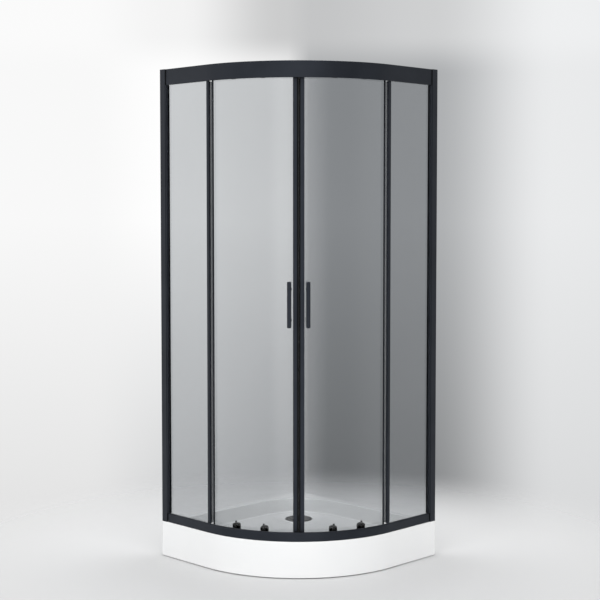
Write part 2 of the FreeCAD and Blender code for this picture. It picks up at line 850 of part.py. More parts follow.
# Channel that grips an upright edge of the curved glass.
def door_stile(angle0, angle1, depth, edge_radius, slot_angle0, slot_angle1):
    middle = door_glass_n + glass_thickness / 2
    n0 = middle - depth / 2
    body = curved_band(n0, n0 + depth, angle0, angle1, door_bottom, door_top)
    upright_edges = []
    for edge in body.Edges:
        box = edge.BoundBox
        if box.ZLength > depth and box.XLength < same_place:
            upright_edges.append(edge)
    body = body.makeFillet(edge_radius, upright_edges)
    slot = curved_band(
        door_glass_n - shaft_gap,
        door_glass_inner_n + shaft_gap,
        slot_angle0,
        slot_angle1,
        door_bottom - depth,
        door_top + depth,
    )
    return body.cut(slot)


def overlap_stile():
    slot_start = glass_angle0 - angle_of(face_gap, door_glass_n)
    slot_end = overlap_angle1 + cut_margin_angle
    depth = overlap_stile_depth
    return door_stile(overlap_angle0, overlap_angle1, depth, stile_edge_radius, slot_start, slot_end)


def meeting_stile():
    slot_start = meeting_angle0 - cut_margin_angle
    slot_end = glass_angle1 + angle_of(face_gap, door_glass_n)
    depth = meeting_stile_depth
    return door_stile(meeting_angle0, magnet_angle0, depth, meeting_stile_edge, slot_start, slot_end)


def magnet_strip():
    n0 = door_glass_n + glass_thickness / 2 - magnet_depth / 2
    return curved_band(n0, n0 + magnet_depth, magnet_angle0, magnet_angle1, door_bottom, door_top)


# Lip seal: a tapering clear strip on the overlap stile that reaches out to the fixed stile.
def overlap_seal():
    root_n = door_glass_n + glass_thickness / 2 - overlap_stile_depth / 2
    tip_n = fixed_glass_n + glass_thickness / 2 + fixed_stile_depth / 2 + seal_tip_gap
    t1 = overlap_stile_lead - stile_edge_radius
    t0 = t1 - seal_width
    tip0 = t1 - seal_tip_width
    corners = [(root_n, t0, 0), (tip_n, tip0, 0), (tip_n, t1, 0), (root_n, t1, 0)]
    face = face_of(corners, at_front)
    seal = upright(face, bottom_rail_top + seal_end_gap, top_rail_z - seal_end_gap)
    # The strip's root follows the stile's gentle curve.
    root = curved_band(
        root_n, root_n + overlap_stile_depth, overlap_angle0, overlap_angle1, door_bottom, door_top
    )
    return seal.cut(root)


# Handle: a rounded upright bar on two round posts, outside the glass.
def handle():
    back_n = door_glass_n - handle_grip_gap
    side = handle_width / 2
    z0 = handle_height - handle_length / 2
    bar = block(back_n - handle_depth, back_n, -side, side, z0, z0 + handle_length)
    bar = bar.makeFillet(handle_edge_radius, bar.Edges)
    posts = []
    wells = []
    for z in handle_post_heights():
        posts.append(across(back_n - handle_depth / 2, door_glass_n - face_gap, handle_post_radius, z))
        well_n = door_glass_n - handle_screw_grip - slide_gap
        wells.append(across(well_n, door_glass_n, handle_screw_radius + shaft_gap, z))
    return on_curve(joined([bar] + posts).cut(wells), handle_angle)


# Domed screw cap inside the glass, with its shank in the handle's post.
def handle_screws():
    screws = []
    for z in handle_post_heights():
        inner = door_glass_inner_n + face_gap
        cap = across(inner, inner + bolt_cap, bolt_cap_radius, z)
        far = [e for e in cap.Edges if abs(e.BoundBox.Center.x - (rail_x + inner + bolt_cap)) < same_place]
        cap = cap.makeFillet(bolt_cap_edge, far)
        shank = across(door_glass_n - handle_screw_grip, inner + bolt_cap / 2, handle_screw_radius, z)
        screws.append(on_curve(joined([cap, shank]), handle_angle))
    return group(screws)


hanger_n1 = door_glass_n - face_gap
hanger_n0 = hanger_n1 - hanger_thickness


# Hanger: a flat plate with round ends, from the clamp bolt in the glass up to the wheel's pin.
def top_hangers():
    z0 = top_rail_z + hanger_bottom_rise
    z1 = top_axle_z + hanger_width / 2
    side = hanger_width / 2
    round_end = side - face_gap
    foot = hanger_foot_radius
    corners = box_corners(-side, side, z0, z1, (foot, foot, round_end, round_end))
    face = face_of(corners, lambda t, z: Vector(rail_x + hanger_n0, curve_centre + t, z))
    plate = face.extrude(Vector(hanger_thickness, 0, 0))
    holes = [
        across(hanger_n0 - web, hanger_n1 + web, pin_radius + shaft_gap, top_axle_z),
        across(hanger_n0 - web, hanger_n1 + web, bolt_radius + shaft_gap, hanger_bolt_z),
    ]
    plate = plate.cut(holes)
    return group([on_curve(plate, angle) for angle in roller_angles])


carrier_sag = (carrier_width / 2) ** 2 / (2 * (rail_radius - door_glass_inner_n))
carrier_n0 = door_glass_inner_n + face_gap + carrier_sag
carrier_top = bottom_rail_z + carrier_top_rise
button_n = wheel_n + wheel_width / 2 - button_setback
button_z = carrier_top - button_well


# Guide carrier: a block with round shoulders on the glass, with a pocket under it for the wheel and a
# button well on top.
def bottom_carriers():
    z0 = bottom_rail_z + carrier_bottom_rise
    side = carrier_width / 2
    foot = carrier_foot_radius
    shoulder = carrier_shoulder_radius
    corners = box_corners(-side, side, z0, carrier_top, (foot, foot, shoulder, shoulder))
    face = face_of(corners, lambda t, z: Vector(rail_x + carrier_n0, curve_centre + t, z))
    body = face.extrude(Vector(carrier_depth, 0, 0))
    pocket_top = bottom_axle_z + wheel_radius + wheel_pocket_gap
    well = at_front(button_n, button_offset)
    cuts = [
        block(carrier_n0 + carrier_plate, carrier_n0 + 2 * carrier_depth, -side, side, z0, pocket_top),
        across(carrier_n0 - web, carrier_n0 + carrier_depth, pin_radius + shaft_gap, bottom_axle_z),
        across(carrier_n0 - web, carrier_n0 + carrier_bolt_grip, bolt_radius + shaft_gap, carrier_bolt_z),
        cylinder(well.x, well.y, button_z, carrier_top + web, button_radius + shaft_gap),
    ]
    body = body.cut(cuts)
    return group([on_curve(body, angle) for angle in roller_angles])


# Release button: a stem in the carrier's well with a wider head above it.
def release_button(angle):
    well = at_front(button_n, button_offset)
    head_z = carrier_top + button_lift
    stem = cylinder(well.x, well.y, head_z - button_stem, head_z + button_head / 2, button_radius)
    head = cylinder(well.x, well.y, head_z, head_z + button_head, button_head_radius)
    top = edges_at(head, head_z + button_head)
    head = head.makeFillet(button_edge, top)
    return on_curve(joined([stem, head]), angle)


# Wheel: a turned tyre and hub joined by a thinner web, with its bore on the pin.
def wheel(axle_z, angle):
    n0 = wheel_n
    n1 = wheel_n + wheel_width
    bore = pin_radius + shaft_gap
    rim = wheel_radius - wheel_rim_depth
    inset = wheel_web_inset
    corners = [
        (n0, bore, 0),
        (n0, wheel_hub_radius, 0),
        (n0 + inset, wheel_hub_radius, 0),
        (n0 + inset, rim, 0),
        (n0, rim, 0),
        (n0, wheel_radius, wheel_edge),
        (n1, wheel_radius, wheel_edge),
        (n1, rim, 0),
        (n1 - inset, rim, 0),
        (n1 - inset, wheel_hub_radius, 0),
        (n1, wheel_hub_radius, 0),
        (n1, bore, 0),
    ]
    face = face_of(corners, lambda n, r: Vector(rail_x + n, curve_centre, axle_z + r))
    spin = face.revolve(Vector(0, curve_centre, axle_z), Vector(1, 0, 0), 360)
    return on_curve(spin, angle)


# Wheel pin: a shank from the plate, a sleeve up to the wheel and a head beyond it.
def wheel_pin(shank_n, plate_n, z):
    head_n = wheel_n + wheel_width + slide_gap
    shank = across(shank_n, head_n + pin_head, pin_radius, z)
    sleeve = across(plate_n + face_gap, wheel_n - slide_gap, pin_head_radius, z)
    head = across(head_n, head_n + pin_head, pin_head_radius, z)
    return joined([shank, sleeve, head])


def clamp_bolt(shank_n0, shank_n1, cap_n, z):
    shank = across(shank_n0, shank_n1, bolt_radius, z)
    return joined([shank, across(cap_n, cap_n + bolt_cap, bolt_cap_radius, z)])


# Wheel pins, and clamp bolts with a round cap on the glass.
def roller_fixings():
    top_pin = wheel_pin(hanger_n0, hanger_n1, top_axle_z)
    low_pin = wheel_pin(carrier_n0, carrier_n0 + carrier_plate, bottom_axle_z)
    inner = door_glass_inner_n + face_gap
    top_bolt = clamp_bolt(hanger_n0, inner + bolt_cap, inner, hanger_bolt_z)
    outer = door_glass_n - face_gap - bolt_cap
    low_bolt = clamp_bolt(outer, carrier_n0 + carrier_bolt_grip - face_gap, outer, carrier_bolt_z)
    fixings = []
    for angle in roller_angles:
        for piece in (top_pin, low_pin, top_bolt, low_bolt):
            fixings.append(on_curve(piece, angle))
    return group(fixings)


# Door stop: a rubber block in the top track, just past the leading wheel's last place.
def door_stop():
    wheel_track = rail_radius - wheel_n - wheel_width / 2
    past_tangent = door_travel - wheel_track * math.radians(lead_roller_angle)
    t0 = past_tangent + wheel_radius + stop_gap
    return block(
        track_n + stop_side_gap,
        rail_depth - web - stop_side_gap,
        t0,
        t0 + stop_length,
        ledge_z,
        ledge_z + stop_height,
    )


nodes = {
    "shower_tray": shower_tray(),
    "tray_board": tray_board(),
    "bottom_rail": bottom_rail(),
    "top_rail": top_rail(),
}
nodes.update(leg_pieces())
nodes.update(waste_pieces())

handed_pieces = {
    "wall_channel": wall_channel(),
    "side_post": side_post(),
    "fixed_glass": fixed_glass(),
    "glass_gasket": glass_gasket(),
    "fixed_stile": fixed_stile(),
    "door_glass": door_glass(),
    "overlap_stile": overlap_stile(),
    "overlap_seal": overlap_seal(),
    "meeting_stile": meeting_stile(),
    "magnet_strip": magnet_strip(),
    "handle": handle(),
    "handle_screws": handle_screws(),
    "top_hangers": top_hangers(),
    "bottom_carriers": bottom_carriers(),
    "roller_fixings": roller_fixings(),
}
for end, angle in (("lead", lead_roller_angle), ("rear", rear_roller_angle)):
    handed_pieces["top_wheel_" + end] = wheel(top_axle_z, angle)
    handed_pieces["bottom_wheel_" + end] = wheel(bottom_axle_z, angle)
    handed_pieces["release_button_" + end] = release_button(angle)
for name, shape in handed_pieces.items():
    nodes["left_" + name] = shape
    nodes["right_" + name] = mirrored(shape)

# Small pieces that are alike on both sides share a node.
end_blocks, rail_screws = end_pieces()
shared = {
    "rail_end_blocks": end_blocks,
    "rail_screws": rail_screws,
    "post_screws": post_screws(),
    "door_stops": [door_stop()],
}
for name, shapes in shared.items():
    nodes[name] = group(shapes + [mirrored(shape) for shape in shapes])

os.makedirs("parts", exist_ok=True)
for name, shape in nodes.items():
    shape.exportStep("parts/" + name + ".step")
    print(name, "solids", len(shape.Solids), "valid", shape.isValid(), "cm3", round(shape.Volume / 1000, 2))
print("nodes", len(nodes))
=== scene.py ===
import bmesh
import bpy
import json
import math
from mathutils import Matrix, Vector

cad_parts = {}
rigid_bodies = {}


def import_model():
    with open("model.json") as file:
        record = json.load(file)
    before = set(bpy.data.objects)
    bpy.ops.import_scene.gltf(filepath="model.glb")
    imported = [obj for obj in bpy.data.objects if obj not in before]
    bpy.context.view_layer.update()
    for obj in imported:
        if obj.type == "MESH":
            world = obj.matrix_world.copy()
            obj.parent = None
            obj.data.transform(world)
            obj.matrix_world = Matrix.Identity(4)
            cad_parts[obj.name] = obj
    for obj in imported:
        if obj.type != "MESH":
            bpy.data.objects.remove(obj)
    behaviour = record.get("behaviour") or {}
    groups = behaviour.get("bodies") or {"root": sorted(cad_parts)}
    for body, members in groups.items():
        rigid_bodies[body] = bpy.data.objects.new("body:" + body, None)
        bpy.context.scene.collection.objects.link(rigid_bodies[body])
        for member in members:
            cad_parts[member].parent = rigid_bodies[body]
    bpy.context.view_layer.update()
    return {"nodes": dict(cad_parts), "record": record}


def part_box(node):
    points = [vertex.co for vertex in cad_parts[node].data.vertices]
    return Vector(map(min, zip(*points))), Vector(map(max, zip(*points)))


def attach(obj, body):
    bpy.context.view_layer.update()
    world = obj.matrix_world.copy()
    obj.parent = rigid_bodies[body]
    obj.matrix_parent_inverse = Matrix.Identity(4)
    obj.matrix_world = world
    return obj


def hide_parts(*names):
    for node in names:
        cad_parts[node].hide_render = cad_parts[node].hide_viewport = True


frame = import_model()
nodes = frame["nodes"]
slotOf = {part["node"]: part["material_slot"] for part in frame["record"]["subparts"]}
bodyOf = {name: node.parent.name.split(":")[1] for name, node in nodes.items()}
print("frame loaded:", len(nodes), "nodes")


def grey(level, blue=0.0):  # neutral tone, or a bluish one
    return (level, level * (1 + blue / 2), level * (1 + blue), 1.0)


# camera: stands out on the diagonal, so both sides show alike
cameraSetup = {
    "distance": 5.3835,  # from the upright axis through the frame's origin
    "height": 1.4381,
    "heading": -45,  # degrees: looks along +X +Y
    "yaw": -0.0551,
    "pitchDown": 3.121,
    "lens": 78.88,
    "sensor": 36.0,
    "shiftY": -0.0337,
}


def makeCamera(setup):
    data = bpy.data.cameras.new("viewCamera")
    data.lens = setup["lens"]
    data.sensor_width = setup["sensor"]
    data.shift_y = setup["shiftY"]
    camera = bpy.data.objects.new("viewCamera", data)
    bpy.context.scene.collection.objects.link(camera)
    reach = setup["distance"] / math.sqrt(2)
    camera.location = (-reach, -reach, setup["height"])
    turn = math.radians(setup["heading"] + setup["yaw"])
    camera.rotation_euler = (math.radians(90 - setup["pitchDown"]), 0, turn)
    bpy.context.scene.camera = camera


makeCamera(cameraSetup)
bpy.context.scene.view_settings.view_transform = "Standard"
print("camera placed")

# studio: a pale sweep, bright on the picture's left, with painted shade behind the right panes,
# a darker band that is darkest low down, and a soft box overhead
studioSetup = {
    "leftward": (-1.0, 1.0, 0.0),
    "frontward": (-1.0, -1.0, 0.0),
    "upward": (0.0, 0.0, 1.0),
    # behind the part: how far left a direction points, and the tone there low down, at eye level and high up
    "backStops": [
        (-1.0, grey(0.52, 0.03), grey(0.52, 0.03), grey(0.52, 0.03)),
        (-0.45, grey(0.58, 0.03), grey(0.62, 0.03), grey(0.66, 0.03)),
        (-0.19, grey(0.70, 0.02), grey(0.82, 0.02), grey(0.86, 0.02)),
        # painted shade: these two rows darken the sweep behind the right-hand panes, most of all low down
        (-0.096, grey(0.25, 0.05), grey(0.41, 0.05), grey(0.62, 0.02)),
        (-0.011, grey(0.22, 0.05), grey(0.40, 0.05), grey(0.55, 0.02)),
        (0.012, grey(0.54, 0.03), grey(0.92), grey(0.60, 0.01)),
        (0.09, grey(0.66, 0.02), grey(1.0), grey(0.90)),
        (0.16, grey(0.78), grey(0.94), grey(0.96)),
        (1.0, grey(0.80), grey(0.94), grey(0.96)),
    ],
    "eyeRise": (-0.21, -0.01),  # how far up a direction points where the low tone turns into the next
    "highRise": (0.098, 0.13),  # and that one into the high tone
    # on the camera's side: the same, but alike at all heights
    "frontStops": [
        (-1.0, grey(0.52, 0.03)),
        (-0.75, grey(0.34, 0.04)),
        (-0.35, grey(0.40, 0.03)),
        (0.0, grey(0.80)),
        (1.0, grey(0.88)),
    ],
    "frontTurn": (-0.5, 0.1),  # how far frontward a direction points where the back turns into the front
    "underRise": (-0.46, -0.19),  # how far up it points where one tone underneath turns into the sweep
    "underTone": grey(0.70),
    "glowTone": grey(0.95),  # added for gloss, from the camera's side
    "glowTurn": (0.85, 1.0),
    "fillTone": grey(0.54, 0.01),  # soft light from all round
    "keyTone": grey(1.68),  # soft light in the middle of the bright side
    "keyFrom": (-0.72, -0.52, 0.46),
    "keyTurn": (0.15, 1.0),
    "topPlace": (0.05, 0.05, 3.3),
    "topSize": 1.3,
    "topPower": 46.0,
    "floorRadius": 3.2,
    "floorSides": 96,
    "floorFade": (0.75, 1.9),  # metres from the middle where the floor melts into the sweep
    "floorColour": grey(0.68, 0.01),
    "floorRoughness": 0.55,
}


def makeSweep(setup):
    world = bpy.data.worlds.new("paleSweep")
    bpy.context.scene.world = world
    world.use_nodes = True
    tree = world.node_tree
    tree.nodes.clear()
    add = tree.nodes.new
    link = tree.links.new
    where = add("ShaderNodeTexCoord")
    path = add("ShaderNodeLightPath")

    def share(direction, low, high, ease="SMOOTHSTEP"):  # 0 to 1 as a ray turns to the direction
        along = add("ShaderNodeVectorMath")
        along.operation = "DOT_PRODUCT"
        along.inputs[1].default_value = Vector(direction).normalized()
        ramp = add("ShaderNodeMapRange")
        ramp.interpolation_type = ease
        ramp.inputs["From Min"].default_value = low
        ramp.inputs["From Max"].default_value = high
        link(where.outputs["Generated"], along.inputs[0])
        link(along.outputs["Value"], ramp.inputs["Value"])
        return ramp.outputs["Result"]

    def mix(factor, first, second, kind="MIX"):  # each is a tone or another node's output
        node = add("ShaderNodeMix")
        node.data_type = "RGBA"
        node.blend_type = kind
        for label, tone in (("A", first), ("B", second)):
            if isinstance(tone, bpy.types.NodeSocket):
                link(tone, node.inputs[label])
            else:
                node.inputs[label].default_value = tone
        link(factor, node.inputs["Factor"])
        return node.outputs["Result"]

    def toneRamp(stops, column):
        ramp = add("ShaderNodeValToRGB")
        ramp.color_ramp.interpolation = "EASE"
        marks = ramp.color_ramp.elements
        while len(marks) < len(stops):
            marks.new(0.5)
        for mark, stop in zip(marks, stops):
            mark.position = (stop[0] + 1) / 2
            mark.color = stop[column]
        link(turn, ramp.inputs["Fac"])
        return ramp.outputs["Color"]

    def larger(first, second):
        node = add("ShaderNodeMath")
        node.operation = "MAXIMUM"
        link(first, node.inputs[0])
        link(second, node.inputs[1])
        return node.outputs["Value"]

    def background(tone):
        node = add("ShaderNodeBackground")
        link(tone, node.inputs["Color"])
        return node.outputs["Background"]

    turn = share(setup["leftward"], -1.0, 1.0, "LINEAR")
    low, eye, high = [toneRamp(setup["backStops"], column) for column in (1, 2, 3)]
    front = toneRamp(setup["frontStops"], 1)
    seen = mix(share(setup["upward"], *setup["eyeRise"], "LINEAR"), low, eye)
    seen = mix(share(setup["upward"], *setup["highRise"]), seen, high)
    seen = mix(share(setup["frontward"], *setup["frontTurn"]), seen, front)
    seen = mix(share(setup["upward"], *setup["underRise"]), setup["underTone"], seen)
    glow = mix(share(setup["frontward"], *setup["glowTurn"]), grey(0.0), setup["glowTone"])
    seen = mix(path.outputs["Is Glossy Ray"], seen, glow, "ADD")
    lit = mix(share(setup["keyFrom"], *setup["keyTurn"]), setup["fillTone"], setup["keyTone"])
    shows = larger(path.outputs["Is Camera Ray"], path.outputs["Is Glossy Ray"])
    shows = larger(shows, path.outputs["Is Transmission Ray"])
    pick = add("ShaderNodeMixShader")
    link(shows, pick.inputs["Fac"])
    link(background(lit), pick.inputs[1])
    link(background(seen), pick.inputs[2])
    link(pick.outputs["Shader"], add("ShaderNodeOutputWorld").inputs["Surface"])


def newMaterial(name):
    material = bpy.data.materials.new(name)
    material.use_nodes = True
    tree = material.node_tree
    return material, tree, tree.nodes["Principled BSDF"]


def makeFloor(setup):
    bpy.ops.mesh.primitive_circle_add(
        vertices=setup["floorSides"], radius=setup["floorRadius"], fill_type="NGON"
    )
    floor = bpy.context.object
    floor.name = "paleFloor"
    material, tree, skin = newMaterial("paleFloor")
    skin.inputs["Base Color"].default_value = setup["floorColour"]
    skin.inputs["Roughness"].default_value = setup["floorRoughness"]
    where = tree.nodes.new("ShaderNodeTexCoord")
    away = tree.nodes.new("ShaderNodeVectorMath")
    away.operation = "LENGTH"
    fade = tree.nodes.new("ShaderNodeMapRange")
    fade.interpolation_type = "SMOOTHSTEP"
    fade.inputs["From Min"].default_value = setup["floorFade"][0]
    fade.inputs["From Max"].default_value = setup["floorFade"][1]
    fade.inputs["To Min"].default_value = 1.0
    fade.inputs["To Max"].default_value = 0.0
    tree.links.new(where.outputs["Object"], away.inputs[0])
    tree.links.new(away.outputs["Value"], fade.inputs["Value"])
    tree.links.new(fade.outputs["Result"], skin.inputs["Alpha"])
    floor.data.materials.append(material)


def makeTopLight(setup):  # a soft box that looks straight down
    data = bpy.data.lights.new("topLight", "AREA")
    data.shape = "DISK"
    data.size = setup["topSize"]
    data.energy = setup["topPower"]
    lamp = bpy.data.objects.new("topLight", data)
    lamp.location = setup["topPlace"]
    bpy.context.scene.collection.objects.link(lamp)


makeSweep(studioSetup)
makeFloor(studioSetup)
makeTopLight(studioSetup)
print("studio lit")

# shader groups that several finishes share
number = "NodeSocketFloat"
colour = "NodeSocketColor"
vector = "NodeSocketVector"
groupLook = {
    "cloudDetail": 4.0,
    "cloudMiddle": (0.35, 0.65),  # the part of a noise that is stretched to 0..1
    "skinDetail": 2.0,
    "lineDetail": 3.0,
    "skinMiddle": (0.3, 0.7),
    "highlightTurn": (0.995, 0.90),  # how alike the plain and the rounded normal are, from no painted edge highlight to the full one
    "highlightBreaks": 240.0,
}


def newGroup(name, inputs, outputs):
    group = bpy.data.node_groups.new(name, "ShaderNodeTree")
    for label, kind, value in inputs:
        socket = group.interface.new_socket(label, in_out="INPUT", socket_type=kind)
        socket.default_value = value
    for label, kind in outputs:
        group.interface.new_socket(label, in_out="OUTPUT", socket_type=kind)
    return group, group.nodes.new("NodeGroupInput"), group.nodes.new("NodeGroupOutput")


def spreadRange(tree, limits):  # stretches what lies between the limits to 0..1
    node = tree.nodes.new("ShaderNodeMapRange")
    node.inputs["From Min"].default_value = limits[0]
    node.inputs["From Max"].default_value = limits[1]
    return node


def makeCloudTone(look):  # slow drift between two close tones
    group, given, out = newGroup(
        "cloudTone",
        [("Tone A", colour, grey(0.5)), ("Tone B", colour, grey(0.6)), ("Scale", number, 20.0)],
        [("Tone", colour)],
    )
    where = group.nodes.new("ShaderNodeTexCoord")
    noise = group.nodes.new("ShaderNodeTexNoise")
    noise.inputs["Detail"].default_value = look["cloudDetail"]
    spread = spreadRange(group, look["cloudMiddle"])
    tone = group.nodes.new("ShaderNodeMix")
    tone.data_type = "RGBA"
    link = group.links.new
    link(where.outputs["Object"], noise.inputs["Vector"])
    link(given.outputs["Scale"], noise.inputs["Scale"])
    link(noise.outputs["Fac"], spread.inputs["Value"])
    link(spread.outputs["Result"], tone.inputs["Factor"])
    link(given.outputs["Tone A"], tone.inputs["A"])
    link(given.outputs["Tone B"], tone.inputs["B"])
    link(tone.outputs["Result"], out.inputs["Tone"])
    return group


def linkGrain(group, given, out, grain, limits):  # puts a noise out as a height and as a varying roughness
    spread = spreadRange(group, limits)
    link = group.links.new
    link(grain.outputs["Fac"], out.inputs["Height"])
    link(grain.outputs["Fac"], spread.inputs["Value"])
    link(given.outputs["Smooth"], spread.inputs["To Min"])
    link(given.outputs["Rough"], spread.inputs["To Max"])
    link(spread.outputs["Result"], out.inputs["Roughness"])


def makeFineSkin(look):  # fine pebble of a coat or a mould
    group, given, out = newGroup(
        "fineSkin",
        [("Scale", number, 900.0), ("Smooth", number, 0.35), ("Rough", number, 0.45)],
        [("Height", number), ("Roughness", number)],
    )
    where = group.nodes.new("ShaderNodeTexCoord")
    pebble = group.nodes.new("ShaderNodeTexNoise")
    pebble.inputs["Detail"].default_value = look["skinDetail"]
    group.links.new(where.outputs["Object"], pebble.inputs["Vector"])
    group.links.new(given.outputs["Scale"], pebble.inputs["Scale"])
    linkGrain(group, given, out, pebble, look["skinMiddle"])
    return group


def makeDrawLines(look):  # faint lines along a drawn profile, long in one direction
    group, given, out = newGroup(
        "drawLines",
        [("Stretch", vector, (900, 900, 6)), ("Smooth", number, 0.35), ("Rough", number, 0.45)],
        [("Height", number), ("Roughness", number)],
    )
    where = group.nodes.new("ShaderNodeTexCoord")
    scale = group.nodes.new("ShaderNodeVectorMath")
    scale.operation = "MULTIPLY"
    lines = group.nodes.new("ShaderNodeTexNoise")
    lines.inputs["Scale"].default_value = 1.0
    lines.inputs["Detail"].default_value = look["lineDetail"]
    group.links.new(where.outputs["Object"], scale.inputs[0])
    group.links.new(given.outputs["Stretch"], scale.inputs[1])
    group.links.new(scale.outputs["Vector"], lines.inputs["Vector"])
    linkGrain(group, given, out, lines, look["skinMiddle"])
    return group


def makeEdgeHighlight(look):  # painted highlight: a lighter tone where a surface turns over an edge, broken up by noise
    group, given, out = newGroup(
        "edgeRub",
        [("Tone", colour, grey(0.1)), ("Rubbed", colour, grey(0.2)), ("Width", number, 0.001)],
        [("Tone", colour)],
    )
    add = group.nodes.new
    link = group.links.new
    shape = add("ShaderNodeNewGeometry")
    rounded = add("ShaderNodeBevel")
    turn = add("ShaderNodeVectorMath")
    turn.operation = "DOT_PRODUCT"
    edge = spreadRange(group, look["highlightTurn"])
    where = add("ShaderNodeTexCoord")
    breaks = add("ShaderNodeTexNoise")
    breaks.inputs["Scale"].default_value = look["highlightBreaks"]
    both = add("ShaderNodeMath")
    both.operation = "MULTIPLY"
    tone = add("ShaderNodeMix")
    tone.data_type = "RGBA"
    link(given.outputs["Width"], rounded.inputs["Radius"])
    link(rounded.outputs["Normal"], turn.inputs[0])
    link(shape.outputs["Normal"], turn.inputs[1])
    link(turn.outputs["Value"], edge.inputs["Value"])
    link(where.outputs["Object"], breaks.inputs["Vector"])
    link(edge.outputs["Result"], both.inputs[0])
    link(breaks.outputs["Fac"], both.inputs[1])
    link(both.outputs["Value"], tone.inputs["Factor"])
    link(given.outputs["Tone"], tone.inputs["A"])
    link(given.outputs["Rubbed"], tone.inputs["B"])
    link(tone.outputs["Result"], out.inputs["Tone"])
    return group


groups = {
    "cloudTone": makeCloudTone(groupLook),
    "fineSkin": makeFineSkin(groupLook),
    "drawLines": makeDrawLines(groupLook),
    "edgeRub": makeEdgeHighlight(groupLook),
}


def placeGroup(tree, name, values):
    node = tree.nodes.new("ShaderNodeGroup")
    node.node_tree = groups[name]
    for label, value in values.items():
        node.inputs[label].default_value = value
    return node


def placeTone(tree, look):
    values = {"Tone A": look["toneA"], "Tone B": look["toneB"], "Scale": look["driftScale"]}
    return placeGroup(tree, "cloudTone", values).outputs["Tone"]


def placeBump(tree, height, strength, depth, under=None):
    bump = tree.nodes.new("ShaderNodeBump")
    bump.inputs["Strength"].default_value = strength
    bump.inputs["Distance"].default_value = depth
    tree.links.new(height, bump.inputs["Height"])
    if under is not None:
        tree.links.new(under, bump.inputs["Normal"])
    return bump.outputs["Normal"]


plainSkin = {  # what a skin has where its look says nothing else
    "metallic": 0.0, "specular": 0.5, "sheenTone": (1, 1, 1, 1), "coat": 0.0, "coatRoughness": 0.05,
}


# coat, plastic, rubber and metal: drifting colour, uneven gloss and a fine bump,
# with draw lines or a painted edge highlight (a lighter tone on edges) where the look asks for them
def makeSkin(name, look):
    look = {**plainSkin, **look}
    material, tree, skin = newMaterial(name)
    link = tree.links.new
    tone = placeTone(tree, look)
    gloss = {"Smooth": look["smooth"], "Rough": look["rough"]}
    fine = placeGroup(tree, "fineSkin", {"Scale": look["pebble"], **gloss})
    roughness = fine.outputs["Roughness"]
    normal = placeBump(tree, fine.outputs["Height"], look["bump"], look["bumpHeight"])
    # painted highlight: edges get a lighter tone
    if "rubbed" in look:
        edgeLight = placeGroup(tree, "edgeRub", {"Rubbed": look["rubbed"], "Width": look["highlightWidth"]})
        link(tone, edgeLight.inputs["Tone"])
        tone = edgeLight.outputs["Tone"]
    if "stretch" in look:
        lines = placeGroup(tree, "drawLines", {"Stretch": look["stretch"], **gloss})
        roughness = lines.outputs["Roughness"]
        normal = placeBump(tree, lines.outputs["Height"], look["lineBump"], look["bumpHeight"], normal)
    link(tone, skin.inputs["Base Color"])
    link(roughness, skin.inputs["Roughness"])
    link(normal, skin.inputs["Normal"])
    skin.inputs["Metallic"].default_value = look["metallic"]
    skin.inputs["Specular IOR Level"].default_value = look["specular"]
    skin.inputs["Specular Tint"].default_value = look["sheenTone"]
    skin.inputs["Coat Weight"].default_value = look["coat"]
    skin.inputs["Coat Roughness"].default_value = look["coatRoughness"]
    return material


def makeGlass(name, look):  # a tint that drifts a little, and the slow wave of toughened glass
    material, tree, skin = newMaterial(name)
    link = tree.links.new
    link(placeTone(tree, look), skin.inputs["Base Color"])
    wave = placeGroup(tree, "fineSkin", {"Scale": look["waveScale"]})
    link(placeBump(tree, wave.outputs["Height"], look["wave"], look["waveHeight"]), skin.inputs["Normal"])
    skin.inputs["Roughness"].default_value = look["roughness"]
    skin.inputs["IOR"].default_value = look["ior"]
    skin.inputs["Transmission Weight"].default_value = look["transmission"]
    return material


def makeBoard(name, look):  # pressed wood chips: flat flakes of several browns
    material, tree, skin = newMaterial(name)
    link = tree.links.new
    where = tree.nodes.new("ShaderNodeTexCoord")
    chips = tree.nodes.new("ShaderNodeTexVoronoi")
    chips.inputs["Scale"].default_value = look["chipScale"]
    apart = tree.nodes.new("ShaderNodeSeparateColor")
    flake = tree.nodes.new("ShaderNodeMix")
    flake.data_type = "RGBA"
    flake.inputs["B"].default_value = look["darkChip"]
    link(where.outputs["Object"], chips.inputs["Vector"])
    link(chips.outputs["Color"], apart.inputs["Color"])
    link(apart.outputs["Red"], flake.inputs["Factor"])
    link(placeTone(tree, look), flake.inputs["A"])
    link(flake.outputs["Result"], skin.inputs["Base Color"])
    link(placeBump(tree, chips.outputs["Distance"], look["bump"], look["bumpHeight"]), skin.inputs["Normal"])
    skin.inputs["Roughness"].default_value = look["roughness"]
    return material


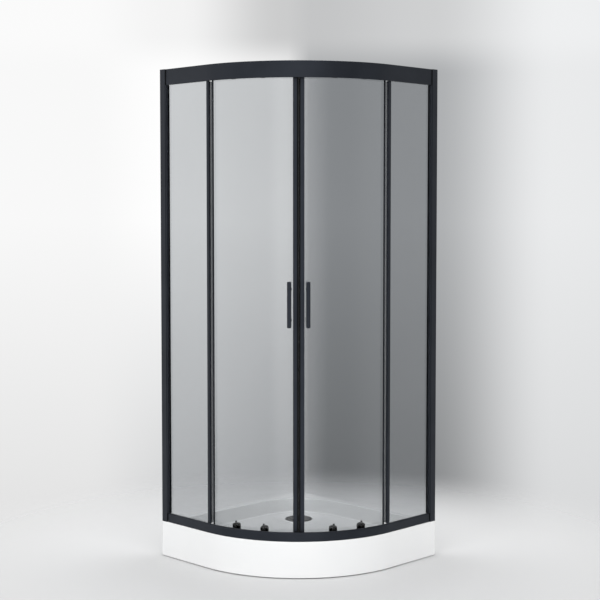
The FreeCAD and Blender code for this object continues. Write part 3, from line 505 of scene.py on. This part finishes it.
def makeTurnedSteel(name, look):  # rings left by turning, round the waste's own axis
    material, tree, skin = newMaterial(name)
    link = tree.links.new
    low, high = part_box(look["aboutNode"])
    where = tree.nodes.new("ShaderNodeTexCoord")
    offset = tree.nodes.new("ShaderNodeVectorMath")
    offset.operation = "SUBTRACT"
    offset.inputs[1].default_value = (low + high) / 2
    flat = tree.nodes.new("ShaderNodeVectorMath")
    flat.operation = "MULTIPLY"
    flat.inputs[1].default_value = (1, 1, 0)
    away = tree.nodes.new("ShaderNodeVectorMath")
    away.operation = "LENGTH"
    rings = tree.nodes.new("ShaderNodeTexNoise")
    rings.noise_dimensions = "1D"
    rings.inputs["Scale"].default_value = look["ringScale"]
    rings.inputs["Detail"].default_value = look["ringDetail"]
    spread = spreadRange(tree, look["ringMiddle"])
    spread.inputs["To Min"].default_value = look["smooth"]
    spread.inputs["To Max"].default_value = look["rough"]
    link(where.outputs["Object"], offset.inputs[0])
    link(offset.outputs["Vector"], flat.inputs[0])
    link(flat.outputs["Vector"], away.inputs[0])
    link(away.outputs["Value"], rings.inputs["W"])
    link(rings.outputs["Fac"], spread.inputs["Value"])
    link(spread.outputs["Result"], skin.inputs["Roughness"])
    link(placeTone(tree, look), skin.inputs["Base Color"])
    link(placeBump(tree, rings.outputs["Fac"], look["bump"], look["bumpHeight"]), skin.inputs["Normal"])
    skin.inputs["Metallic"].default_value = 1.0
    skin.inputs["Specular Tint"].default_value = look["edgeTone"]
    return material


darkCoat = {  # the coat on all aluminium profiles
    "toneA": (0.0100, 0.0112, 0.0138, 1), "toneB": (0.0132, 0.0146, 0.0180, 1), "driftScale": 12.0,
    "pebble": 1600.0, "smooth": 0.34, "rough": 0.44, "bump": 0.08, "bumpHeight": 0.0002,
    "lineBump": 0.05, "specular": 0.30, "sheenTone": (0.70, 0.80, 1.0, 1),
}
# the lighter edge tones in these looks are painted highlights
skinLooks = {
    "tray_white": {
        "toneA": (0.845, 0.852, 0.855, 1), "toneB": (0.865, 0.868, 0.868, 1), "driftScale": 3.0,
        "pebble": 60.0, "smooth": 0.14, "rough": 0.20, "bump": 0.04, "bumpHeight": 0.0004,
        "coat": 0.3, "coatRoughness": 0.06,
    },
    "leg_steel": {
        "toneA": (0.49, 0.51, 0.53, 1), "toneB": (0.62, 0.60, 0.55, 1), "driftScale": 90.0,
        "pebble": 400.0, "smooth": 0.28, "rough": 0.42, "bump": 0.05, "bumpHeight": 0.0002,
        "metallic": 1.0, "rubbed": grey(0.72), "highlightWidth": 0.0008,
    },
    "foot_plastic": {
        "toneA": grey(0.018), "toneB": grey(0.026), "driftScale": 40.0,
        "pebble": 1200.0, "smooth": 0.42, "rough": 0.58, "bump": 0.12, "bumpHeight": 0.0003,
        "rubbed": grey(0.06), "highlightWidth": 0.001,
    },
    "black_rubber": {
        "toneA": grey(0.010), "toneB": grey(0.016), "driftScale": 50.0,
        "pebble": 1500.0, "smooth": 0.6, "rough": 0.75, "bump": 0.15, "bumpHeight": 0.0003,
    },
    "trap_plastic": {
        "toneA": (0.70, 0.70, 0.68, 1), "toneB": (0.76, 0.76, 0.74, 1), "driftScale": 25.0,
        "pebble": 600.0, "smooth": 0.32, "rough": 0.44, "bump": 0.06, "bumpHeight": 0.0003,
    },
    "dark_aluminium": {**darkCoat, "stretch": (700, 700, 5)},  # uprights: the draw lines run up and down
    "dark_rail": {**darkCoat, "stretch": (5, 5, 700)},  # rails: they run level
    "black_plastic": {
        "toneA": grey(0.004, 0.1), "toneB": grey(0.006, 0.1), "driftScale": 60.0,
        "pebble": 1400.0, "smooth": 0.44, "rough": 0.56, "bump": 0.10, "bumpHeight": 0.0002,
        "specular": 0.12, "rubbed": grey(0.010, 0.1), "highlightWidth": 0.0006,
    },
    "screw_steel": {
        "toneA": grey(0.48, 0.02), "toneB": grey(0.56, 0.02), "driftScale": 120.0,
        "pebble": 900.0, "smooth": 0.25, "rough": 0.36, "bump": 0.04, "bumpHeight": 0.0001,
        "metallic": 1.0,
    },
    "hanger_steel": {
        "toneA": grey(0.030, 0.03), "toneB": grey(0.045, 0.03), "driftScale": 80.0,
        "pebble": 800.0, "smooth": 0.34, "rough": 0.46, "bump": 0.05, "bumpHeight": 0.0002,
        "metallic": 1.0, "rubbed": grey(0.09, 0.03), "highlightWidth": 0.0006,
    },
    "magnet_rubber": {
        "toneA": grey(0.004, 0.1), "toneB": grey(0.006, 0.1), "driftScale": 30.0,
        "pebble": 1500.0, "smooth": 0.5, "rough": 0.62, "bump": 0.10, "bumpHeight": 0.0002,
        "specular": 0.05,
    },
    "wheel_plastic": {
        "toneA": grey(0.085), "toneB": grey(0.105), "driftScale": 90.0,
        "pebble": 1200.0, "smooth": 0.38, "rough": 0.5, "bump": 0.08, "bumpHeight": 0.0002,
    },
}
glassLooks = {
    "tinted_glass": {
        "toneA": (0.560, 0.576, 0.590, 1), "toneB": (0.580, 0.596, 0.610, 1), "driftScale": 1.5,
        "waveScale": 3.0, "wave": 0.02, "waveHeight": 0.001,
        "roughness": 0.0, "ior": 1.5, "transmission": 1.0,
    },
    "clear_seal": {
        "toneA": (0.19, 0.20, 0.21, 1), "toneB": (0.22, 0.23, 0.24, 1), "driftScale": 25.0,
        "waveScale": 120.0, "wave": 0.1, "waveHeight": 0.0003,
        "roughness": 0.22, "ior": 1.45, "transmission": 0.7,
    },
}
boardLook = {
    "toneA": (0.46, 0.34, 0.20, 1), "toneB": (0.60, 0.47, 0.30, 1), "driftScale": 40.0,
    "chipScale": 160.0, "darkChip": (0.34, 0.23, 0.12, 1),
    "bump": 0.3, "bumpHeight": 0.0006, "roughness": 0.75,
}
wasteLook = {
    "toneA": grey(0.13, 0.04), "toneB": grey(0.16, 0.04), "driftScale": 12.0,
    "aboutNode": "waste_flange", "ringScale": 1800.0, "ringDetail": 3.0, "ringMiddle": (0.3, 0.7),
    "smooth": 0.24, "rough": 0.38, "bump": 0.06, "bumpHeight": 0.0002, "edgeTone": grey(0.3),
}
finishes = {name: makeSkin(name, look) for name, look in skinLooks.items()}
finishes.update({name: makeGlass(name, look) for name, look in glassLooks.items()})
finishes["tray_board"] = makeBoard("tray_board", boardLook)
finishes["waste_steel"] = makeTurnedSteel("waste_steel", wasteLook)
print("finishes mixed:", len(finishes))

railNodes = ("bottom_rail", "top_rail")
for name, node in nodes.items():
    node.data.materials.clear()
    node.data.materials.append(finishes["dark_rail" if name in railNodes else slotOf[name]])
print("frame dressed")

# legs and fasteners: each stands where the frame has its plain solid, and keeps that solid's reach
curveCentre = Vector((0.115, 0.115, 0.0))  # plan centre of the curved front
upAxis = Vector((0, 0, 1))
readingSetup = {"weldGap": 2e-6, "nearGap": 1e-5, "placeDigits": 4, "shortStep": 5e-4}
sharpAngle = 32  # degrees


def meanOf(points):
    return sum(points, Vector()) / len(points)


def middleOf(points, axis):  # of the reach along an axis and across it
    turned = axis.to_track_quat("Z", "Y")
    placed = [turned.inverted() @ point for point in points]
    low = Vector([min(point[k] for point in placed) for k in range(3)])
    high = Vector([max(point[k] for point in placed) for k in range(3)])
    return turned @ ((low + high) / 2)


def solidsOf(nodeName):  # the points of each separate solid in a node, in the order of their places
    shell = bmesh.new()
    shell.from_mesh(nodes[nodeName].data)
    bmesh.ops.remove_doubles(shell, verts=shell.verts, dist=readingSetup["weldGap"])
    waiting = dict.fromkeys(shell.verts)  # keeps the mesh's own order, so each run gives the same
    solids = []
    while waiting:
        reached = [next(iter(waiting))]
        del waiting[reached[0]]
        points = []
        while reached:
            vert = reached.pop()
            points.append(vert.co.copy())
            for edge in vert.link_edges:
                other = edge.other_vert(vert)
                if other in waiting:
                    del waiting[other]
                    reached.append(other)
        solids.append(points)
    shell.free()
    digits = readingSetup["placeDigits"]
    return sorted(solids, key=lambda points: tuple(round(part, digits) for part in meanOf(points)))


def nearGroups(values):  # sorted values, split where neighbours lie apart
    groups = []
    for value in sorted(values):
        if groups and value - groups[-1][-1] < readingSetup["nearGap"]:
            groups[-1].append(value)
        else:
            groups.append([value])
    return groups


# a turned solid's straight steps as (start, end, radius) along its axis, and its far end
def sectionsOf(points, axis):
    middle = middleOf(points, axis)
    marks = []
    for point in points:
        along = (point - middle).dot(axis)
        marks.append(((point - middle - axis * along).length, along))
    sections = []
    for radii in nearGroups(radius for radius, along in marks):
        stops = nearGroups(along for radius, along in marks if radii[0] <= radius <= radii[-1])
        ends = [sum(stop) / len(stop) for stop in stops]
        radius = sum(radii) / len(radii)
        sections += [(start, end, radius) for start, end in zip(ends[0::2], ends[1::2])]
    sections = [section for section in sections if section[1] - section[0] > readingSetup["shortStep"]]
    return sorted(sections), max(along for radius, along in marks)


def radiusOf(section):
    return section[2]


def ringTurns(count):
    return [2 * math.pi * k / count for k in range(count)]


def ringOf(reaches, along):  # one point for each reach, evenly round the axis
    turns = ringTurns(len(reaches))
    return [(reach * math.cos(turn), reach * math.sin(turn), along) for reach, turn in zip(reaches, turns)]


def roundRing(radius, along, count):
    return ringOf([radius] * count, along)


def hexReach(flats, turn):
    return flats / 2 / math.cos(turn % (math.pi / 3) - math.pi / 6)


def hexRing(flats, along, count, limit=math.inf):  # corners cut off at the limit
    return ringOf([min(limit, hexReach(flats, turn)) for turn in ringTurns(count)], along)


def placeAlong(origin, axis):
    return Matrix.Translation(origin) @ axis.to_track_quat("Z", "Y").to_matrix().to_4x4()


def addSkin(shell, place, rings, closed=False):  # joins rings with quads; closed joins the last to the first
    rows = [[shell.verts.new(place @ Vector(point)) for point in ring] for ring in rings]
    pairs = list(zip(rows, rows[1:]))
    if closed:
        pairs.append((rows[-1], rows[0]))
    for low, high in pairs:
        for k in range(len(low)):
            shell.faces.new((low[k - 1], low[k], high[k], high[k - 1]))
    if not closed:
        shell.faces.new(rows[0][::-1])
        shell.faces.new(rows[-1])


def finishPiece(name, shell, nodeName):  # takes the node's place, body and finish
    mesh = bpy.data.meshes.new(name)
    shell.to_mesh(mesh)
    shell.free()
    mesh.shade_smooth()
    mesh.set_sharp_from_angle(angle=math.radians(sharpAngle))
    mesh.materials.append(finishes[slotOf[nodeName]])
    piece = bpy.data.objects.new(name, mesh)
    bpy.context.scene.collection.objects.link(piece)
    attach(piece, bodyOf[nodeName])
    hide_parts(nodeName)


rodLook = {
    "pitch": 0.00175, "depth": 0.00075, "rowsPerTurn": 6, "count": 20, "runOut": 0.001,
    "toothSlope": 1.6, "toothFlat": 0.3,  # flanks, and the flats that they leave at root and crest
}


def makeLegRods(look):  # threaded from end to end, with chamfered ends
    shell = bmesh.new()
    for points in solidsOf("leg_rods"):
        (start, end, radius), = sectionsOf(points, upAxis)[0]
        rows = round((end - start) / look["pitch"] * look["rowsPerTurn"])
        rings = []
        for row in range(rows + 1):
            along = start + (end - start) * row / rows
            fromEnd = min(along - start, end - along)
            crest = radius - look["depth"] * max(0.0, 1 - fromEnd / look["runOut"])
            reaches = []
            for turn in ringTurns(look["count"]):
                phase = (along / look["pitch"] - turn / (2 * math.pi)) % 1
                tooth = look["toothSlope"] * abs(2 * phase - 1) - look["toothFlat"]
                tooth = min(1.0, max(0.0, tooth))
                reaches.append(min(crest, radius - look["depth"] * (1 - tooth)))
            rings.append(ringOf(reaches, along))
        addSkin(shell, placeAlong(middleOf(points, upAxis), upAxis), rings)
    finishPiece("legRods", shell, "leg_rods")


nutLook = {"count": 48, "faceShare": 0.95, "chamferSlope": 1.73, "chamferRows": 6, "boreChamfer": 0.0006}


def makeLegNuts(look):  # hexagons with the corners turned off at both ends
    shell = bmesh.new()
    count = look["count"]
    bevel = look["boreChamfer"]
    slope = look["chamferSlope"]
    for points in solidsOf("leg_lock_nuts"):
        sections = sectionsOf(points, upAxis)[0]
        start, end, bore = min(sections, key=radiusOf)
        corner = max(radiusOf(section) for section in sections)
        flats = corner * math.sqrt(3)
        face = flats / 2 * look["faceShare"]
        chamfer = (corner - face) / slope
        depths = [chamfer * row / look["chamferRows"] for row in range(look["chamferRows"] + 1)]
        rings = [roundRing(bore, start + bevel, count), roundRing(bore + bevel, start, count)]
        rings += [hexRing(flats, start + depth, count, face + depth * slope) for depth in depths]
        rings += [hexRing(flats, end - depth, count, face + depth * slope) for depth in reversed(depths)]
        rings += [roundRing(bore + bevel, end, count), roundRing(bore, end - bevel, count)]
        addSkin(shell, placeAlong(middleOf(points, upAxis), upAxis), rings, closed=True)
    finishPiece("legLockNuts", shell, "leg_lock_nuts")


padLook = {
    "ribs": 36, "pointsPerRib": 4, "dipPoints": 2, "ribDepth": 0.0009, "ribFrom": 0.0035, "ribTo": 0.0085,
    "footRound": 0.0008, "dishDepth": 0.0016, "dishInner": 0.0098, "dishRim": 0.0014,
}


def makeFootPads(look):  # moulded feet: a ribbed grip round the rim and a dished top with a collar
    shell = bmesh.new()
    count = look["ribs"] * look["pointsPerRib"]
    for points in solidsOf("foot_pads"):
        middle = middleOf(points, upAxis)
        sections = sectionsOf(points, upAxis)[0]
        start, shoulder, rim = max(sections, key=radiusOf)
        well, end, bore = min(sections, key=radiusOf)
        top = max(point.z for point in points) - readingSetup["nearGap"]
        topRim = max((point - middle).to_2d().length for point in points if point.z > top)
        ribLow = start + look["ribFrom"]
        ribHigh = start + look["ribTo"]
        dips = [k % look["pointsPerRib"] < look["dipPoints"] for k in range(count)]
        grip = [rim - look["ribDepth"] if dip else rim for dip in dips]
        dish = end - look["dishDepth"]
        rings = [
            roundRing(rim - look["footRound"], start, count),
            roundRing(rim, start + look["footRound"], count),
            roundRing(rim, ribLow, count),
            ringOf(grip, ribLow),
            ringOf(grip, ribHigh),
            roundRing(rim, ribHigh, count),
            roundRing(rim, shoulder, count),
            roundRing(topRim, end, count),
            roundRing(topRim - look["dishRim"], end, count),
            roundRing(topRim - 2 * look["dishRim"], dish, count),
            roundRing(look["dishInner"], dish, count),
            roundRing(look["dishInner"] - look["dishDepth"], end, count),
            roundRing(bore, end, count),
            roundRing(bore, well, count),
        ]
        addSkin(shell, placeAlong(middle, upAxis), rings)
    finishPiece("footPads", shell, "foot_pads")


boltLook = {
    "count": 24, "chamfer": 0.0003, "rimShare": 0.40, "crownShare": 0.66, "domeRows": 6,
    "socketShare": 0.62, "socketDepthShare": 0.6,  # shares of the head's radius and of its height
}


def makeBolts(name, nodeName, axisAt, look):  # domed heads with a hexagon socket, on stepped shanks
    shell = bmesh.new()
    count = look["count"]
    chamfer = look["chamfer"]
    for points in solidsOf(nodeName):
        axis = axisAt(meanOf(points))
        axis = axisAt(middleOf(points, axis))
        middle = middleOf(points, axis)
        sections, tip = sectionsOf(points, axis)
        if radiusOf(sections[0]) > radiusOf(sections[-1]):  # the head is at the near end
            axis = -axis
            sections, tip = sectionsOf(points, axis)
        rings = []
        for start, end, radius in sections[:-1]:
            rings.append(roundRing(radius - chamfer, start, count))
            rings.append(roundRing(radius, start + chamfer, count))
            rings.append(roundRing(radius, end, count))
        headStart = sections[-1][0]
        head = radiusOf(sections[-1])
        rim = headStart + (tip - headStart) * look["rimShare"]
        crown = head * look["crownShare"]
        rings.append(roundRing(head - chamfer, headStart, count))
        rings.append(roundRing(head, headStart + chamfer, count))
        for row in range(look["domeRows"] + 1):
            turn = math.pi / 2 * row / look["domeRows"]
            reach = crown + (head - crown) * math.cos(turn)
            rings.append(roundRing(reach, rim + (tip - rim) * math.sin(turn), count))
        flats = head * look["socketShare"]
        rings.append(hexRing(flats, tip, count))
        rings.append(hexRing(flats, tip - (tip - headStart) * look["socketDepthShare"], count))
        addSkin(shell, placeAlong(middle, axis), rings)
    finishPiece(name, shell, nodeName)


def towardCurve(middle):  # square to the curved glass
    return Vector((curveCentre.x - middle.x, curveCentre.y - middle.y, 0)).normalized()


def acrossPost(middle):  # square to the side of the post that the screw enters
    return Vector((1, 0, 0)) if middle.x < middle.y else Vector((0, 1, 0))


makeLegRods(rodLook)
makeLegNuts(nutLook)
makeFootPads(padLook)
makeBolts("postScrews", "post_screws", acrossPost, boltLook)
for side in ("left", "right"):
    makeBolts(side + "HandleScrews", side + "_handle_screws", towardCurve, boltLook)
    makeBolts(side + "RollerFixings", side + "_roller_fixings", towardCurve, boltLook)
print("legs and fasteners made")
